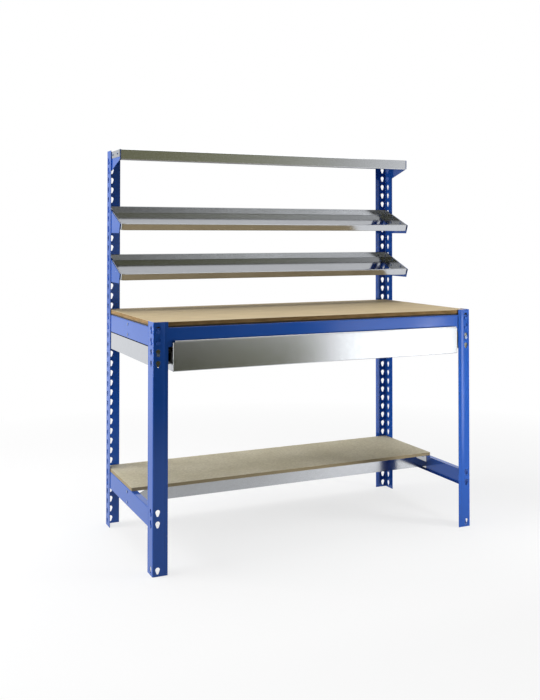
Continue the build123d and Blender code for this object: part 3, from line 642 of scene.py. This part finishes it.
FLOOR_REACH = 30.0
FLOOR_SQUARES = 2
FLOOR_DROP = 0.2 * MM
FLOOR_PALE = (0.86, 0.86, 0.86, 1)
FLOOR_DIM = (0.20, 0.20, 0.20, 1)       # what the floor throws back at the bench
SHADOW_NEAR = 1.1
SHADOW_FAR = 2.6
SHADOW_SHARE = 0.28


def studio_floor():
    """Floor whose faint shadow fades into white for the camera; metal mirrors the room in its place."""
    s = Shader("pale_floor")
    away = s.node("ShaderNodeVectorMath", {0: s.place}, operation="LENGTH").outputs["Value"]
    near = s.ramp(away, SHADOW_NEAR, SHADOW_FAR, SHADOW_SHARE, 0.0)
    pale = s.node("ShaderNodeBsdfDiffuse", {"Color": FLOOR_PALE}).outputs[0]
    dim = s.node("ShaderNodeBsdfDiffuse", {"Color": FLOOR_DIM}).outputs[0]
    white = s.node("ShaderNodeEmission", {"Color": WHITE, "Strength": 1.0}).outputs[0]
    shadowed = s.node("ShaderNodeMixShader", {0: near, 1: white, 2: pale}).outputs[0]
    camera_ray, mirror_ray = s.rays()
    seen = s.math("MAXIMUM", camera_ray, mirror_ray)
    surface = s.node("ShaderNodeMixShader", {0: seen, 1: dim, 2: shadowed}).outputs[0]
    s.put(s.tree.nodes["Material Output"], "Surface", surface)
    made = bmesh.new()
    bmesh.ops.create_grid(made, x_segments=FLOOR_SQUARES, y_segments=FLOOR_SQUARES, size=FLOOR_REACH)
    floor = mesh_into_scene("floor", made, s.material)
    floor.location.z = -FLOOR_DROP
    floor.visible_glossy = False


def studio_world():
    """The camera sees plain white; metal mirrors the room, which lights matt surfaces at a share."""
    s = WorldShader("studio")
    way = s.node("ShaderNodeSeparateXYZ", {0: s.place}).outputs
    azimuth = s.math("ARCTAN2", way["X"], s.math("MULTIPLY", way["Y"], -1.0))
    room = s.steps(azimuth, ROOM_LOW)
    for heights, stops in ROOM_RUNS:
        room = s.blend(s.ramp(way["Z"], *heights), room, s.steps(azimuth, stops))
    room = s.blend(s.ramp(way["Z"], *HIGH_TO_TOP), room, ROOM_TOP)
    room = s.math("MULTIPLY", room, ROOM_LEVEL)
    camera_ray, mirror_ray = s.rays()
    level = s.blend(mirror_ray, s.math("MULTIPLY", room, WORLD_LEVEL), room)
    level = s.blend(camera_ray, level, 1.0)
    tint = s.mix(s.ramp(room, *TINT_LEVELS), ROOM_DIM, ROOM_BRIGHT)
    background = s.tree.nodes["Background"]
    s.put(background, "Color", s.mix(mirror_ray, WHITE, tint))
    s.put(background, "Strength", level)
    bpy.context.scene.world = s.world


def soft_box(name, place, aim, width, height, power):
    light = bpy.data.lights.new(name, "AREA")
    light.shape = "RECTANGLE"
    light.size = width
    light.size_y = height
    light.energy = power
    lamp = into_scene(name, light)
    lamp.location = place
    lamp.rotation_mode = "QUATERNION"
    lamp.rotation_quaternion = (Vector(aim) - Vector(place)).to_track_quat("-Z", "Y")
    lamp.visible_camera = False
    return lamp


studio_floor()
studio_world()
soft_box("top_light", **TOP_LIGHT)
soft_box("left_light", **LEFT_LIGHT)
right_light = soft_box("right_light", **RIGHT_LIGHT)
right_light.data.spread = RIGHT_SPREAD
right_light.visible_glossy = False


# Camera at the photograph's viewing angle

def photo_camera():
    post_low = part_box("front_left_post")[0]
    corner = Vector((post_low.x, post_low.y, 0))
    right = Vector((math.cos(CAMERA_YAW), -math.sin(CAMERA_YAW), 0))
    ahead = Vector((math.sin(CAMERA_YAW) * math.cos(CAMERA_PITCH),
                    math.cos(CAMERA_YAW) * math.cos(CAMERA_PITCH), math.sin(CAMERA_PITCH)))
    up = right.cross(ahead)
    data = bpy.data.cameras.new("camera")
    data.lens = FOCAL_PX / PHOTO_HEIGHT * data.sensor_width
    data.shift_x = (PHOTO_WIDTH / 2 - CENTRE_X_PX) / PHOTO_HEIGHT
    data.shift_y = (CENTRE_Y_PX - PHOTO_HEIGHT / 2) / PHOTO_HEIGHT
    camera = into_scene("camera", data)
    turn = Matrix((right, up, -ahead)).transposed()
    camera.matrix_world = Matrix.Translation(corner + CAMERA_FROM_CORNER) @ turn.to_4x4()
    bpy.context.scene.camera = camera


photo_camera()
bpy.context.scene.view_settings.view_transform = "Standard"
